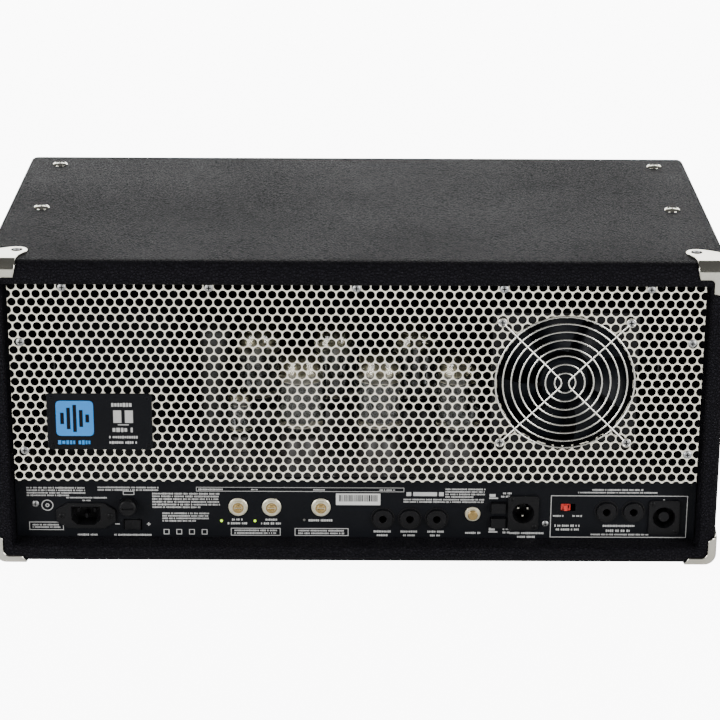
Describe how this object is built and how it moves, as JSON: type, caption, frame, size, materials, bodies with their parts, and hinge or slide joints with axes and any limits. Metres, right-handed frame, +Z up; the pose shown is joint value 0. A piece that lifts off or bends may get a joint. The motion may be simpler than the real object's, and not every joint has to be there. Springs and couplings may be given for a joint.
{
  "type": "guitar amplifier head",
  "caption": "Valve guitar amplifier head in a covered cabinet, with a perforated rear grille, a fan and a rear connection panel.",
  "frame": {"origin": "on the floor under the middle of the cabinet's outer box", "axes": "+X to the right of someone facing the front, +Y to the rear, +Z up"},
  "size_m": [0.6506, 0.3294, 0.2875],
  "materials": {
    "vinyl_covering": "black leather-grain vinyl glued over plywood",
    "nickel_plate": "nickel plated pressed steel, polished",
    "rubber": "moulded rubber, matt",
    "strap": "textured rubber strap over spring steel",
    "grille_enamel": "off-white enamelled perforated steel",
    "black_metal": "black satin paint on sheet steel",
    "black_plastic": "black moulded plastic, satin",
    "zinc_steel": "zinc plated steel",
    "circuit_board": "green lacquered glass-fibre board",
    "valve_glass": "clear glass bulb with silvery getter on a dark base",
    "brass": "turned brass",
    "red_plastic": "red moulded plastic",
    "brushed_aluminium": "brushed and anodised",
    "grille_cloth": "woven grille cloth over a frame"
  },
  "bodies": {
    "cabinet": {"top_board": "vinyl_covering", "bottom_board": "vinyl_covering", "left_board": "vinyl_covering", "right_board": "vinyl_covering", "corner_cap_top_left": "nickel_plate", "corner_cap_top_right": "nickel_plate", "corner_cap_bottom_left": "nickel_plate", "corner_cap_bottom_right": "nickel_plate", "foot_1": "rubber", "foot_2": "rubber", "foot_3": "rubber", "foot_4": "rubber", "left_handle": "strap", "right_handle": "strap", "rear_grille": "grille_enamel", "badge_plate": "black_metal", "fan_frame": "black_plastic", "fan_guard": "nickel_plate", "rear_panel": "black_metal", "chassis": "zinc_steel", "circuit_board": "circuit_board", "power_transformer": "black_metal", "output_transformer": "black_metal", "filter_capacitor": "zinc_steel", "power_valve_1": "valve_glass", "power_valve_2": "valve_glass", "power_valve_3": "valve_glass", "power_valve_4": "valve_glass", "power_valve_5": "valve_glass", "power_valve_6": "valve_glass", "driver_valve": "valve_glass", "mains_inlet": "black_plastic", "line_jack_1": "black_plastic", "line_jack_2": "black_plastic", "line_jack_3": "black_plastic", "speaker_jack_1": "black_plastic", "speaker_jack_2": "black_plastic", "three_pin_socket": "black_plastic", "twist_lock_socket": "black_plastic", "front_panel": "brushed_aluminium", "front_baffle": "grille_cloth", "input_jack_1": "nickel_plate", "input_jack_2": "nickel_plate"},
    "fan_rotor": {"fan_rotor": "black_plastic"},
    "fuse_cap": {"fuse_cap": "black_plastic"},
    "polarity_rocker": {"polarity_rocker": "black_plastic"},
    "trim_shaft_1": {"trim_shaft_1": "brass"},
    "trim_shaft_2": {"trim_shaft_2": "brass"},
    "trim_shaft_3": {"trim_shaft_3": "brass"},
    "level_shaft": {"level_shaft": "black_plastic"},
    "push_button_upper": {"push_button_upper": "black_plastic"},
    "push_button_lower": {"push_button_lower": "black_plastic"},
    "impedance_slide": {"impedance_slide": "red_plastic"},
    "knob_1": {"knob_1": "black_plastic"},
    "knob_2": {"knob_2": "black_plastic"},
    "knob_3": {"knob_3": "black_plastic"},
    "knob_4": {"knob_4": "black_plastic"},
    "knob_5": {"knob_5": "black_plastic"},
    "standby_rocker": {"standby_rocker": "black_plastic"},
    "power_rocker": {"power_rocker": "black_plastic"}
  },
  "joints": [
    {"name": "fan_spin", "type": "hinge", "parent": "cabinet", "child": "fan_rotor", "pos_m": [-0.1716, 0.14525, 0.1825], "axis": [0, 1, 0], "continuous": true},
    {"name": "fuse_cap_turn", "type": "hinge", "parent": "cabinet", "child": "fuse_cap", "pos_m": [0.1921, 0.14325, 0.0645], "axis": [0, 1, 0], "range_deg": [0, 90]},
    {"name": "polarity_rock", "type": "hinge", "parent": "cabinet", "child": "polarity_rocker", "pos_m": [0.1888, 0.14225, 0.0467], "axis": [0, 0, 1], "range_deg": [-10, 10]},
    {"name": "trim_1_turn", "type": "hinge", "parent": "cabinet", "child": "trim_shaft_1", "pos_m": [0.0994, 0.14325, 0.0631], "axis": [0, 1, 0], "range_deg": [-135, 135]},
    {"name": "trim_2_turn", "type": "hinge", "parent": "cabinet", "child": "trim_shaft_2", "pos_m": [0.0711, 0.14325, 0.0631], "axis": [0, 1, 0], "range_deg": [-135, 135]},
    {"name": "trim_3_turn", "type": "hinge", "parent": "cabinet", "child": "trim_shaft_3", "pos_m": [0.0294, 0.14325, 0.0631], "axis": [0, 1, 0], "range_deg": [-135, 135]},
    {"name": "level_turn", "type": "hinge", "parent": "cabinet", "child": "level_shaft", "pos_m": [-0.0989, 0.14325, 0.0575], "axis": [0, 1, 0], "range_deg": [-140, 140]},
    {"name": "push_button_upper_press", "type": "slide", "parent": "cabinet", "child": "push_button_upper", "axis": [0, -1, 0], "range_m": [0, 0.003], "stiffness_N_per_m": 300},
    {"name": "push_button_lower_press", "type": "slide", "parent": "cabinet", "child": "push_button_lower", "axis": [0, -1, 0], "range_m": [0, 0.003], "stiffness_N_per_m": 300},
    {"name": "impedance_select", "type": "slide", "parent": "cabinet", "child": "impedance_slide", "axis": [-1, 0, 0], "range_m": [0, 0.004]},
    {"name": "knob_1_turn", "type": "hinge", "parent": "cabinet", "child": "knob_1", "pos_m": [-0.168, -0.14475, 0.062], "axis": [0, 1, 0], "range_deg": [-135, 135]},
    {"name": "knob_2_turn", "type": "hinge", "parent": "cabinet", "child": "knob_2", "pos_m": [-0.108, -0.14475, 0.062], "axis": [0, 1, 0], "range_deg": [-135, 135]},
    {"name": "knob_3_turn", "type": "hinge", "parent": "cabinet", "child": "knob_3", "pos_m": [-0.048, -0.14475, 0.062], "axis": [0, 1, 0], "range_deg": [-135, 135]},
    {"name": "knob_4_turn", "type": "hinge", "parent": "cabinet", "child": "knob_4", "pos_m": [0.012, -0.14475, 0.062], "axis": [0, 1, 0], "range_deg": [-135, 135]},
    {"name": "knob_5_turn", "type": "hinge", "parent": "cabinet", "child": "knob_5", "pos_m": [0.072, -0.14475, 0.062], "axis": [0, 1, 0], "range_deg": [-135, 135]},
    {"name": "standby_rock", "type": "hinge", "parent": "cabinet", "child": "standby_rocker", "pos_m": [0.164, -0.14375, 0.062], "axis": [1, 0, 0], "range_deg": [-20, 0]},
    {"name": "power_rock", "type": "hinge", "parent": "cabinet", "child": "power_rocker", "pos_m": [0.206, -0.14375, 0.062], "axis": [1, 0, 0], "range_deg": [-20, 0]}
  ]
}
